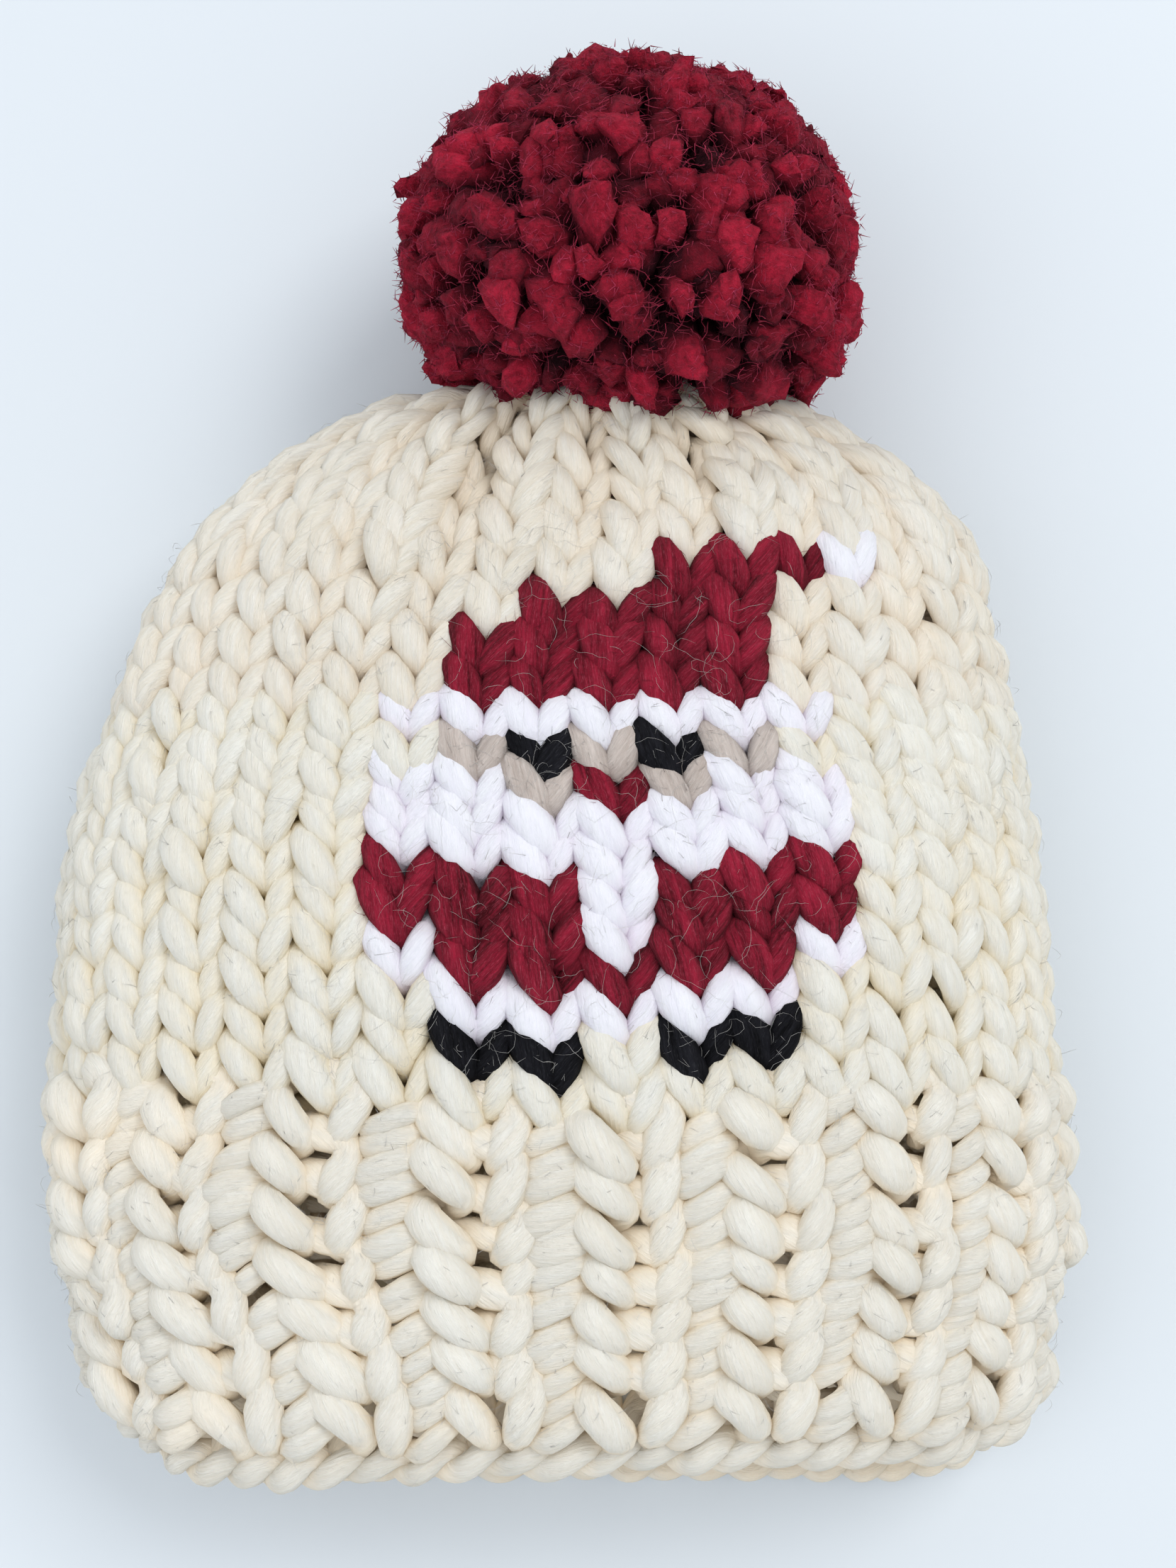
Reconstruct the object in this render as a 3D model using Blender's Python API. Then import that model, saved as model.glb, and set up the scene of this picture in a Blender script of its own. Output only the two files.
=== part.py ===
"""Chunky hand-knitted winter hat with a ribbed brim, a gathered crown and a pompom.

The hat lies on its back: +X is to its right, +Y runs from the brim to the pompom, +Z is up, out of its
front. The origin is on the surface it lies on, under the middle of its bounding box. Units are metres.
"""
import math

import bmesh
import bpy
import numpy as np
from mathutils import Vector

MM = 0.001

# Driving dimensions, in millimetres.
WALL = 9.0  # two strands of thick wool, one behind the other
RIBS = 18  # raised columns of the 1x1 ribbing, a knit stitch and a purl stitch each
RIB_RELIEF = 2.2
GATHERS = 18
GATHER_RELIEF = 1.9
SEGMENTS_PER_RIB = 7
GATHER_HOLE_RADIUS = 3.6
BODY_HALF_WIDTH = 91.0
BODY_RISE = 36.0  # from the side folds up to the front
BODY_DROP = 24.0  # from the side folds down to the back
GATHER_X = 11.0
GATHER_Z = 36.0
EDGE_ROUNDING = 2.6
LEFT_EDGE_LIFT = 17.0  # the cast-on edge is further in at the left side fold
RIGHT_EDGE_LIFT = 11.0  # and at the right one
FRONT_EDGE_LIFT = 7.0  # the front arches up, so its edge is further in than the back's
EDGE_TILT = 0.045  # the front edge hangs lower at the left than at the right

POMPOM_CENTRE = (13.0, 97.0, 40.0)
POMPOM_HALF_SIZE = (41.8, 34.0, 39.6)
LOCKS = 118
LOCK_DEPTH = 9.0
LOCK_LEAN = 0.10
LOCK_UNEVENNESS = 0.04
CROWN_CLEARANCE = 2.0

TIE_RADIUS = 3.1
TIE_FIT = 0.4
KNOT_RADIUS = 7.5
KNOT_LENGTH = 6.0
POCKET_DEPTH = 12.0

# Sections of the hat from the brim to the gather, in millimetres. A station is a place along the
# knitting, and "end" is 0 where the wall faces sideways and 1 where it faces the pompom.
SECTION_COLUMNS = ("station", "y", "left", "right", "low", "side", "top", "rib", "gather", "end")
SECTIONS = (
    (-8.5, -130.5, -85.5, 87.0, -1.0, 20.0, 46.0, 1.0, 0.0, 0.0),
    (-7.0, -118.0, -86.5, 88.5, -1.5, 21.0, 49.0, 1.0, 0.0, 0.0),
    (-5.0, -100.0, -88.5, 90.0, -1.5, 22.0, 52.0, 1.0, 0.0, 0.0),
    (-3.0, -83.0, -91.5, 93.5, -1.5, 23.0, 54.0, 1.0, 0.0, 0.0),
    (-1.2, -68.0, -92.5, 92.5, -1.5, 24.0, 55.5, 0.8, 0.0, 0.0),
    (0.0, -58.0, -92.3, 91.5, -1.5, 24.0, 56.0, 0.1, 0.0, 0.0),
    (3.0, -35.0, -92.0, 90.5, -2.0, 24.0, 58.5, 0.0, 0.0, 0.0),
    (6.0, -12.0, -90.0, 88.0, -2.0, 24.0, 59.5, 0.0, 0.0, 0.0),
    (8.5, 7.0, -85.0, 84.5, -2.0, 24.5, 59.5, 0.0, 0.15, 0.0),
    (10.5, 24.0, -79.0, 81.5, -2.0, 25.0, 58.5, 0.0, 0.35, 0.0),
    (12.2, 38.5, -71.5, 78.0, -1.0, 26.0, 56.5, 0.0, 0.6, 0.05),
    (13.6, 50.5, -60.0, 69.5, 0.5, 28.0, 54.0, 0.0, 0.8, 0.15),
    (14.8, 60.0, -46.5, 56.5, 4.0, 30.0, 51.5, 0.0, 1.0, 0.4),
    (15.8, 66.5, -33.0, 44.5, 9.0, 32.0, 49.0, 0.0, 1.0, 0.75),
    (16.7, 69.0, -20.5, 36.0, 15.0, 34.0, 46.5, 0.0, 0.9, 1.0),
    (17.6, 68.5, -8.5, 27.0, 21.5, 35.5, 44.5, 0.0, 0.6, 1.0),
    (18.4, 66.5, 1.0, 19.5, 28.0, 36.0, 42.5, 0.0, 0.3, 1.0),
    (19.0, 63.5, 7.4, 14.6, 32.4, 36.0, 39.6, 0.0, 0.0, 1.0),
)

# Hollows and creases in the front, in millimetres, with their turn in degrees.
DENT_COLUMNS = ("x", "y", "half_length", "half_width", "depth", "turn")
DENTS = (
    (-14.0, 51.0, 11.0, 5.5, 5.0, 70.0),
    (16.0, 45.0, 7.0, 4.0, 3.0, 80.0),
    (29.0, 59.0, 9.0, 4.0, 3.0, 60.0),
    (-83.0, -67.0, 14.0, 6.0, 3.5, 10.0),
    (-66.0, -120.0, 16.0, 5.0, 2.5, 50.0),
)

# Stations at which the outer and inner faces have a ring of points.
OUTER_STATIONS = (-8.5, -7.6, -6.0, -4.4, -2.8, -1.4, -0.4, 0.8, 2.8, 4.8, 6.8, 8.6, 10.3, 11.8,
                  13.0, 14.0, 14.9, 15.7, 16.5, 17.3, 18.1, 18.6, 19.0)
INNER_STATIONS = (-8.5, -6.0, -3.0, -0.4, 3.0, 6.0, 8.6, 10.8, 12.6, 14.0, 15.0, 16.0, 17.2, 18.2, 19.0)


def column(name):
    """One named column of the section table."""
    place = SECTION_COLUMNS.index(name)
    return np.array([section[place] for section in SECTIONS])


def smooth_between(x, known_x, known_y):
    """A smooth curve through the known points, with slopes taken from their neighbours on either side."""
    slopes = np.gradient(known_y, known_x)
    after = np.clip(np.searchsorted(known_x, x, side="right"), 1, len(known_x) - 1)
    before = after - 1
    span = known_x[after] - known_x[before]
    t = (x - known_x[before]) / span
    return ((2 * t**3 - 3 * t**2 + 1) * known_y[before]
            + (t**3 - 2 * t**2 + t) * span * slopes[before]
            + (3 * t**2 - 2 * t**3) * known_y[after]
            + (t**3 - t**2) * span * slopes[after])


def at_stations(stations):
    """Every column of the section table, read at the given stations."""
    known = column("station")
    return {name: smooth_between(stations, known, column(name)) for name in SECTION_COLUMNS[1:]}


def blunted(value, power):
    """A cosine or sine drawn towards a square corner, so that a section is fuller than an ellipse."""
    return np.sign(value) * np.abs(value) ** (2.0 / power)


def section_powers(roundness):
    """How blunt a section is in front and underneath: full in the body, round where the crown closes."""
    return 2.45 * (1.0 - roundness) + 2.0 * roundness, 3.4 * (1.0 - roundness) + 2.0 * roundness


def even_angle(around, roundness):
    """The section angle at a fraction of the way around, so that stitches are evenly wide along the knitting.

    The lengths come from the middle of the body, separately for the front and the back; towards the
    gather the section is round and the angle itself is even.
    """
    steps = np.linspace(0.0, math.pi, 400)
    front_power, under_power = section_powers(0.0)
    angle = np.zeros_like(around)
    for power, height, start, is_half in ((front_power, BODY_RISE, 0.0, around < 0.5),
                                          (under_power, BODY_DROP, 0.5, around >= 0.5)):
        x = BODY_HALF_WIDTH * blunted(np.cos(steps), power)
        z = height * blunted(np.sin(steps), power)
        travelled = np.concatenate([[0.0], np.cumsum(np.hypot(np.diff(x), np.diff(z)))])
        turned = np.interp((around - start) * 2.0, travelled / travelled[-1], steps)
        angle = np.where(is_half, math.pi - start * 2.0 * math.pi - turned, angle)
    plain = math.pi - 2.0 * math.pi * around
    return angle * (1.0 - roundness) + plain * roundness


def dent_depth(x, y):
    """How far the front is pressed in by the dents at x, y."""
    depth = np.zeros_like(x)
    for dent_x, dent_y, half_length, half_width, deepest, turn in DENTS:
        along = (x - dent_x) * math.cos(math.radians(turn)) + (y - dent_y) * math.sin(math.radians(turn))
        across = (y - dent_y) * math.cos(math.radians(turn)) - (x - dent_x) * math.sin(math.radians(turn))
        depth += deepest * np.exp(-(along / half_length) ** 2 - (across / half_width) ** 2)
    return depth


def hat_face(stations, around, inside):
    """Points of the hat's outer or inner face.

    around runs from 0 at the left fold over the front to 0.5 at the right fold and back under the hat
    to 1. Each section is a blunted ellipse between its left, right, low and top limits; ribs and gathers
    lift it along its own outward direction, and what reaches below the surface it lies on is flat there.
    """
    station_grid, around_grid = np.meshgrid(np.asarray(stations, float), around, indexing="ij")
    part = at_stations(station_grid)
    roundness = np.clip((station_grid - 12.0) / 6.0, 0.0, 1.0)
    angle = even_angle(around_grid, roundness)
    front = np.sin(angle) >= 0.0
    inset = WALL * (1.0 - part["end"]) if inside else 0.0
    least = GATHER_HOLE_RADIUS
    half_width = np.maximum((part["right"] - part["left"]) / 2.0 - inset, least)
    above = np.maximum(part["top"] - part["side"] - inset, least)
    below = np.maximum(part["side"] - part["low"] - inset, least)

    front_power, under_power = section_powers(roundness)
    power = np.where(front, front_power, under_power)
    across = blunted(np.cos(angle), power)
    height = blunted(np.sin(angle), power)

    wave = np.cos(2.0 * math.pi * RIBS * around_grid)
    folds = 0.5 + 0.5 * np.cos(2.0 * math.pi * GATHERS * around_grid + 0.8 * np.sin(6.0 * math.pi * around_grid))
    relief = RIB_RELIEF * part["rib"] * wave - GATHER_RELIEF * part["gather"] * folds
    if inside:
        relief = 0.35 * relief
    length = np.hypot(across / half_width, height / np.where(front, above, below)) + 1e-9
    out_x = across / half_width / length
    out_z = height / np.where(front, above, below) / length

    x = (part["left"] + part["right"]) / 2.0 + half_width * across
    z = part["side"] + np.where(front, above, below) * height
    y = part["y"] - WALL * part["end"] * (1.0 if inside else 0.0)
    x = x + relief * out_x * (1.0 - part["end"])
    z = z + relief * out_z * (1.0 - part["end"])
    y = y + relief * part["end"]

    near_edge = np.clip((-3.0 - station_grid) / 5.5, 0.0, 1.0)
    side_lift = np.where(np.cos(angle) < 0.0, LEFT_EDGE_LIFT, RIGHT_EDGE_LIFT)
    y = y + near_edge * side_lift * np.abs(np.cos(angle)) ** 7
    y = y + near_edge * np.clip(np.sin(angle), 0.0, 1.0) * (EDGE_TILT * x + FRONT_EDGE_LIFT)
    z = z - np.where(front, dent_depth(x, y) * np.abs(np.sin(angle)), 0.0)
    z = np.maximum(z, WALL if inside else 0.0)
    return np.stack([x, y, z], axis=-1) * MM


def add_rings(mesh, grid):
    """Adds a closed ring of vertices for each row of a grid of points."""
    return [[mesh.verts.new(Vector(point)) for point in ring] for ring in grid]


def join_equal(mesh, first, second):
    """Joins two rings of the same number of points with a strip of quads."""
    count = len(first)
    for i in range(count):
        mesh.faces.new((first[i], first[(i + 1) % count], second[(i + 1) % count], second[i]))


def join_half(mesh, fine, coarse):
    """Joins a ring to one of half as many points with three triangles for each point of the coarse ring."""
    count = len(coarse)
    for i in range(count):
        a, b, c = fine[2 * i], fine[2 * i + 1], fine[(2 * i + 2) % len(fine)]
        d, e = coarse[i], coarse[(i + 1) % count]
        mesh.faces.new((a, b, d))
        mesh.faces.new((b, e, d))
        mesh.faces.new((b, c, e))


def new_object(name, mesh_editor, material):
    """Closes a bmesh into a named object with outward faces."""
    bmesh.ops.triangulate(mesh_editor, faces=mesh_editor.faces)
    bmesh.ops.recalc_face_normals(mesh_editor, faces=mesh_editor.faces)
    mesh = bpy.data.meshes.new(name)
    mesh_editor.to_mesh(mesh)
    mesh_editor.free()
    mesh.materials.append(material)
    mesh.shade_smooth()
    mesh.set_sharp_from_angle(angle=math.radians(50.0))
    made = bpy.data.objects.new(name, mesh)
    bpy.context.scene.collection.objects.link(made)
    return made


def yarn(name, colour, roughness):
    """A matt wool material."""
    material = bpy.data.materials.new(name)
    material.use_nodes = True
    shader = material.node_tree.nodes["Principled BSDF"]
    shader.inputs["Base Color"].default_value = (*colour, 1.0)
    shader.inputs["Roughness"].default_value = roughness
    shader.inputs["Metallic"].default_value = 0.0
    return material


def knitted_hat(material):
    """The hollow hat: an outer face, an inner face, a rounded cast-on edge and a small gather hole."""
    segments = RIBS * SEGMENTS_PER_RIB
    fine = np.arange(segments) / segments
    coarse = np.arange(segments // 2) / (segments // 2)
    outer = hat_face(OUTER_STATIONS, fine, inside=False)
    inner = hat_face(INNER_STATIONS, coarse, inside=True)

    edge_inner = hat_face(INNER_STATIONS[:1], fine, inside=True)[0]
    lip = 0.5 * (outer[0] + edge_inner)
    lip[:, 1] -= EDGE_ROUNDING * MM

    mesh = bmesh.new()
    outer_rings = add_rings(mesh, outer)
    inner_rings = add_rings(mesh, inner)
    lip_ring = add_rings(mesh, lip[None])[0]
    for first, second in zip(outer_rings, outer_rings[1:]):
        join_equal(mesh, first, second)
    for first, second in zip(inner_rings, inner_rings[1:]):
        join_equal(mesh, second, first)
    join_equal(mesh, lip_ring, outer_rings[0])
    join_half(mesh, lip_ring, inner_rings[0])
    join_half(mesh, outer_rings[-1], inner_rings[-1])
    return new_object("knit_hat", mesh, material)


def sphere_points(count):
    """Points spread evenly over a sphere along a golden spiral, with its poles along Y."""
    step = np.arange(count) + 0.5
    along = 1.0 - 2.0 * step / count
    turn = math.pi * (1.0 + math.sqrt(5.0)) * step
    radius = np.sqrt(1.0 - along**2)
    return np.stack([radius * np.cos(turn), along, radius * np.sin(turn)], axis=-1)


def sphere_cells(points):
    """The cells around points on a sphere: each is the ring of middles of the hull faces that meet there."""
    hull = bmesh.new()
    for point in points:
        hull.verts.new(Vector(point))
    bmesh.ops.convex_hull(hull, input=hull.verts)
    hull.faces.ensure_lookup_table()
    hull.verts.ensure_lookup_table()
    hull.faces.index_update()
    corners = [face.calc_center_median().normalized() for face in hull.faces]
    cells = []
    for vert in hull.verts:
        middle = vert.co.normalized()
        side = middle.orthogonal().normalized()
        other = middle.cross(side)
        faces = sorted(vert.link_faces,
                       key=lambda f: math.atan2(corners[f.index].dot(other), corners[f.index].dot(side)))
        cells.append((middle, [face.index for face in faces]))
    hull.free()
    return corners, cells


def crown_end(x, z):
    """The furthest Y of the crown's outer face, in millimetres, over a place x, z on it."""
    part = at_stations(np.linspace(12.0, 19.0, 29))
    half_width = (part["right"] - part["left"]) / 2.0
    across = (x - (part["left"] + part["right"]) / 2.0) / half_width
    reach = np.where(z > part["side"], part["top"] - part["side"], part["side"] - part["low"])
    inside = np.hypot(across, (z - part["side"]) / reach) <= 1.0
    return float(np.max(np.where(inside, part["y"], -1000.0)))


def pompom_point(direction, reach):
    """A point of the pompom in a direction from its middle, kept off the crown and the surface below."""
    x, y, z = (centre + way * half * reach
               for centre, way, half in zip(POMPOM_CENTRE, direction, POMPOM_HALF_SIZE))
    y = max(y, crown_end(x, z) + CROWN_CLEARANCE)
    return Vector((x * MM, y * MM, max(z, 0.0) * MM))


def pompom_head(material):
    """The pompom: a head with a lock of cut yarn standing on each of its cells."""
    corners, cells = sphere_cells(sphere_points(LOCKS))
    inner_reach = 1.0 - LOCK_DEPTH / POMPOM_HALF_SIZE[0]
    mesh = bmesh.new()
    base = [mesh.verts.new(pompom_point(corner, inner_reach)) for corner in corners]
    unevenness = np.random.default_rng(5).uniform(-1.0, 1.0, (len(cells), 4))
    for number, (middle, ring) in enumerate(cells):
        tip_way = (middle + Vector(unevenness[number, :3]) * LOCK_LEAN).normalized()
        tip_reach = 1.0 + LOCK_UNEVENNESS * unevenness[number, 3]
        waist = []
        tip = []
        for index in ring:
            way = corners[index]
            waist.append(mesh.verts.new(pompom_point((way * 0.86 + middle * 0.14).normalized(),
                                                     0.5 * (inner_reach + tip_reach) + 0.02)))
            tip.append(mesh.verts.new(pompom_point((way * 0.5 + tip_way * 0.5).normalized(), tip_reach)))
        foot = [base[index] for index in ring]
        join_equal(mesh, foot, waist)
        join_equal(mesh, waist, tip)
        mesh.faces.new(tip)
    return new_object("pompom", mesh, material)


def turned(name, stations, sides, material):
    """A round piece along +Y about the gather, from (y, radius) stations with flat ends."""
    mesh = bmesh.new()
    rings = []
    for y, radius in stations:
        rings.append([mesh.verts.new(Vector(((GATHER_X + radius * math.cos(2 * math.pi * i / sides)) * MM,
                                             y * MM,
                                             (GATHER_Z + radius * math.sin(2 * math.pi * i / sides)) * MM)))
                      for i in range(sides)])
    for first, second in zip(rings, rings[1:]):
        join_equal(mesh, first, second)
    mesh.faces.new(rings[0])
    mesh.faces.new(rings[-1])
    return new_object(name, mesh, material)


def main():
    for old in list(bpy.data.objects):
        bpy.data.objects.remove(old, do_unlink=True)
    cream = yarn("cream_wool", (0.86, 0.80, 0.68), 0.9)
    burgundy = yarn("burgundy_wool", (0.30, 0.02, 0.06), 0.92)
    tie_wool = yarn("tie_wool", (0.28, 0.02, 0.055), 0.92)

    knitted_hat(cream)
    pompom = pompom_head(burgundy)

    foot = crown_end(GATHER_X, GATHER_Z) + CROWN_CLEARANCE
    inside_face = column("y")[-1] - WALL
    pocket = turned("pocket_cutter", ((foot - 8.0, TIE_RADIUS + TIE_FIT),
                                      (foot + POCKET_DEPTH, TIE_RADIUS + TIE_FIT)), 16, tie_wool)
    pocket.hide_render = True
    pocket.display_type = "WIRE"
    cut = pompom.modifiers.new("tie_pocket", "BOOLEAN")
    cut.operation = "DIFFERENCE"
    cut.object = pocket
    turned("pompom_tie", ((inside_face - KNOT_LENGTH - 0.4, KNOT_RADIUS * 0.7),
                          (inside_face - KNOT_LENGTH * 0.5 - 0.4, KNOT_RADIUS),
                          (inside_face - 0.4, KNOT_RADIUS * 0.8),
                          (inside_face - 0.4 + 0.01, TIE_RADIUS),
                          (foot + POCKET_DEPTH - TIE_FIT, TIE_RADIUS)), 16, tie_wool)


main()
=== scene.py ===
import math

import bpy
import numpy as np
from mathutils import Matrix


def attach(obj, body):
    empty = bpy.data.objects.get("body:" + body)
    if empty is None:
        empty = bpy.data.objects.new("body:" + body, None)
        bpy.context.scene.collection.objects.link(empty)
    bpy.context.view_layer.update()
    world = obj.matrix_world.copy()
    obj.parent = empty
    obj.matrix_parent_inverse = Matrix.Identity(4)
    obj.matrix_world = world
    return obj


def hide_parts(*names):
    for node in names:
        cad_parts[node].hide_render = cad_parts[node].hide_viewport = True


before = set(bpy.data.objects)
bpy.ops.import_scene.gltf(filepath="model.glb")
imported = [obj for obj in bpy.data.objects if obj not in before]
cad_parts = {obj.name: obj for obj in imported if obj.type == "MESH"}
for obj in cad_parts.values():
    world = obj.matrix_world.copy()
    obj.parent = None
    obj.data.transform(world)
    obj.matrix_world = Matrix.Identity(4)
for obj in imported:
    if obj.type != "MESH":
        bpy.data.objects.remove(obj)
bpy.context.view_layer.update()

MM = 0.001
RANDOM = np.random.default_rng(12)

# Sizes of the hat, in millimetres unless they say otherwise.
YARN_DEPTH = 4.5  # from the fabric's outer face to the middle of its stitches
GATHER_HOLE_RADIUS = 3.6
BODY_HALF_WIDTH = 91.0
BODY_RISE = 36.0
BODY_DROP = 24.0
LEFT_EDGE_LIFT = 17.0
RIGHT_EDGE_LIFT = 11.0
FRONT_EDGE_LIFT = 7.0
EDGE_TILT = 0.045
EDGE_FROM = -3.0  # the station at which the edge begins to lift
EDGE_RANGE = 5.5  # in stations
CORNER_POWER = 7  # how sharply the brim's corners lift
ROUND_FROM = 12.0  # the station at which the sections begin to turn into ellipses
ROUND_RANGE = 6.0  # in stations
FRONT_POWER = 2.45  # how blunt a section of the body is in front; an ellipse has ELLIPSE_POWER
UNDER_POWER = 3.4
ELLIPSE_POWER = 2.0
ROUND_STEP = 0.004  # for reading the fabric's slopes, as a share of the way round
ALONG_STEP = 0.08  # in stations
YARN_CLEARANCE = 0.15  # the least heights over the floor
HAIR_CLEARANCE = 0.1
LOCK_CLEARANCE = 0.3
POMPOM_CENTRE = np.array((13.0, 97.0, 40.0))
POMPOM_HALF_SIZE = np.array((41.8, 34.0, 39.6))
POMPOM_BLUNT = 2.2
POMPOM_FOOT_BLUNT = 0.6  # more of it towards the hat
POMPOM_SAG = 0.06  # of its underside, for each millimetre to the right
CORE_SIZE = 0.8  # as a share of the pompom's half size
CORE_LUMPS = 0.02
LOCKS = 700
LOCK_ROOT = 0.66  # where the locks start, as a share of the pompom's reach
LOCK_SIDES = 8
LOCK_HALF_WIDTH = 3.3
LOCK_LENGTH = 12.0
LOCK_REACH = 0.97  # as a share of the pompom's reach
LOCK_REACH_SPREAD = 0.032
LOCK_SIZES = (0.72, 1.35)
LOCK_LEAN = 0.30
LOCK_WAVES = ((2.0, 0.18, 1.5), (3.0, 0.14, -2.5), (5.0, 0.06, 7.0))  # waves round it, size, turn along it
LOCK_UNEVEN = 0.10
TIP_WAVE = 1.1
TIP_UNEVEN = 0.45
# painted shade: a lock is painted darker towards its root, less so at the tips that reach furthest
ROOT_SHADE = 2.4  # how dark a lock's root is, and how much of that its tip loses
TIP_SHADE_LOSS = 2.6

# The hat's sections from the brim to the gather: where each lies, its limits to the left and right, the
# heights of its underside, sides and top, how far it is folded, and how near it is to the hat's end.
SECTION_COLUMNS = ("station", "y", "left", "right", "low", "side", "top", "gather", "end")
SECTIONS = (
    (-8.5, -130.5, -85.5, 87.0, -1.0, 20.0, 46.0, 0.0, 0.0),
    (-7.0, -118.0, -86.5, 88.5, -1.5, 21.0, 49.0, 0.0, 0.0),
    (-5.0, -100.0, -88.5, 90.0, -1.5, 22.0, 52.0, 0.0, 0.0),
    (-3.0, -83.0, -91.5, 93.5, -1.5, 23.0, 54.0, 0.0, 0.0),
    (-1.2, -68.0, -92.5, 92.5, -1.5, 24.0, 55.5, 0.0, 0.0),
    (0.0, -58.0, -92.3, 91.5, -1.5, 24.0, 56.0, 0.0, 0.0),
    (3.0, -35.0, -92.0, 90.5, -2.0, 24.0, 58.5, 0.0, 0.0),
    (6.0, -12.0, -90.0, 88.0, -2.0, 24.0, 59.5, 0.0, 0.0),
    (8.5, 7.0, -85.0, 84.5, -2.0, 24.5, 59.5, 0.15, 0.0),
    (10.5, 24.0, -79.0, 81.5, -2.0, 25.0, 58.5, 0.35, 0.0),
    (12.2, 38.5, -71.5, 78.0, -1.0, 26.0, 56.5, 0.6, 0.05),
    (13.6, 50.5, -60.0, 69.5, 0.5, 28.0, 54.0, 0.8, 0.15),
    (14.8, 60.0, -46.5, 56.5, 4.0, 30.0, 51.5, 1.0, 0.4),
    (15.8, 66.5, -33.0, 44.5, 9.0, 32.0, 49.0, 1.0, 0.75),
    (16.7, 69.0, -20.5, 36.0, 15.0, 34.0, 46.5, 0.9, 1.0),
    (17.6, 68.5, -8.5, 27.0, 21.5, 35.5, 44.5, 0.6, 1.0),
    (18.4, 66.5, 1.0, 19.5, 28.0, 36.0, 42.5, 0.3, 1.0),
    (19.0, 63.5, 7.4, 14.6, 32.4, 36.0, 39.6, 0.0, 1.0),
)
DENTS = (
    # x,     y,    half_length, half_width, depth, turn in degrees
    (-14.0, 51.0, 11.0, 5.5, 5.0, 70.0),
    (16.0, 45.0, 7.0, 4.0, 3.0, 80.0),
    (29.0, 59.0, 9.0, 4.0, 3.0, 60.0),
    (-83.0, -67.0, 14.0, 6.0, 3.5, 10.0),
    (-66.0, -120.0, 16.0, 5.0, 2.5, 50.0),
)

# The knitting.
STITCHES = 36
SAMPLES = 24  # points along one stitch
PAIR_SAMPLES = 56  # points along one knit and one purl stitch of the ribbing
SIDES = 8  # points round the yarn
# painted shade: yarn lying below DEEP_FROM takes the crevice colour over DEEP_RANGE
DEEP_FROM = 5.3  # height above the fabric's middle at which the crevices begin, in millimetres
DEEP_RANGE = 4.0
# painted shade: yarn pressed in by a dent is painted darker, as if deeper between stitches
PRESSED_SHADE = 0.1  # how much deeper the yarn looks for each millimetre that a dent presses it in
PRESSED_ABOVE = 20.0  # height over the floor above which the dents reach, in millimetres
YARN_HALF_WIDTH = 3.15
YARN_HALF_DEPTH = 2.8
STITCH_SHIFT = 0.35  # in stitches
STITCH_HEIGHT = 1.12  # times the heights in the table
STITCH_WIDTH = 0.95  # times the thickness in the table, across the fabric
ROW_PLACES = (
    # row, station
    (-3.0, -1.95), (0.0, 0.75), (4.0, 4.35), (7.0, 6.82), (9.0, 8.42),
    (10.0, 9.15), (13.0, 11.4), (16.0, 14.1), (22.0, 19.5),
)
RIB_STATION = -0.98  # of the first row of ribbing
RIB_STEP = 0.97  # stations from row to row
RIB_ROWS = 7
FIRST_RIB_ROW = -2.0  # as the plain rows are numbered
RIB_SHIFT = 1.22  # in stitches
LAST_ROW_REACH = 1.35  # how much further the last row of ribbing reaches down
ROW_BOW = 0.95  # rows lie lower in the middle of the front, in stations
BOW_MIDDLE = 0.265  # as a share of the way round, as the other middles and widths are
BOW_WIDTH = 0.08
BOW_SHARES = (
    # row, share
    (-8.0, 0.0), (1.0, 1.0), (5.0, 1.0), (8.0, 0.15), (10.5, 0.1), (13.0, 0.6), (16.0, 0.0),
)
LEAN_MIDDLE = 0.125
LEAN_WIDTH = 0.08
LEAN = (
    # station, push
    (-8.5, 0.0145), (-7.2, 0.0130), (-4.8, 0.0), (-2.7, -0.0120), (-1.0, -0.0070), (0.5, 0.0),
)
FACE_PUSH = -0.0085  # of the columns over the figure's face
FACE_MIDDLE = 0.31
FACE_WIDTH = 0.10
FACE_STATION = 9.0
FACE_LENGTH = 2.2  # in stations
SPREAD = 0.0104  # of the columns, as a share of the way round
SPREAD_FROM = 0.48
GATHER_FOLD = 1.9
DRAWN_END = 19.6  # the yarn is drawn thinner over DRAWN_RANGE stations before this one
DRAWN_RANGE = 6.8
DRAWN_LEAST = 0.38
DRAWN_DEPTH = 0.6  # how much of it shows in the yarn's depth

# How uneven the knitting is: how far a stitch moves across and up, in stitches and rows, and out, in
# millimetres, and how much the yarn's thickness changes from leg to leg and within a leg.
PLAIN_NOISE = (0.045, 0.09, 0.55)
RIB_NOISE = (0.022, 0.10, 0.6)
LEG_PLUMP = 0.08
INNER_PLUMP = 0.035
PLUMP_SAMPLES = 4

# The cast-on cord.
CORD_SAMPLES = 20  # points along one stitch's width of it
CORD_STATION = -8.1
CORD_STRAND = 2.45
CORD_TURNS = 0.75  # of the strands round each other, to a stitch
CORD_HALF_HEIGHT = 1.9
CORD_HALF_DEPTH = 2.1
CORD_INSET = 1.5
CORD_WAVE = 1.2
CORD_UNEVEN = 0.25
CORD_PLUMP = 0.1

HAIR_SIDES = 3
YARN_TWIST = 0.03  # turns of the fibres round the yarn to a millimetre

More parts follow.
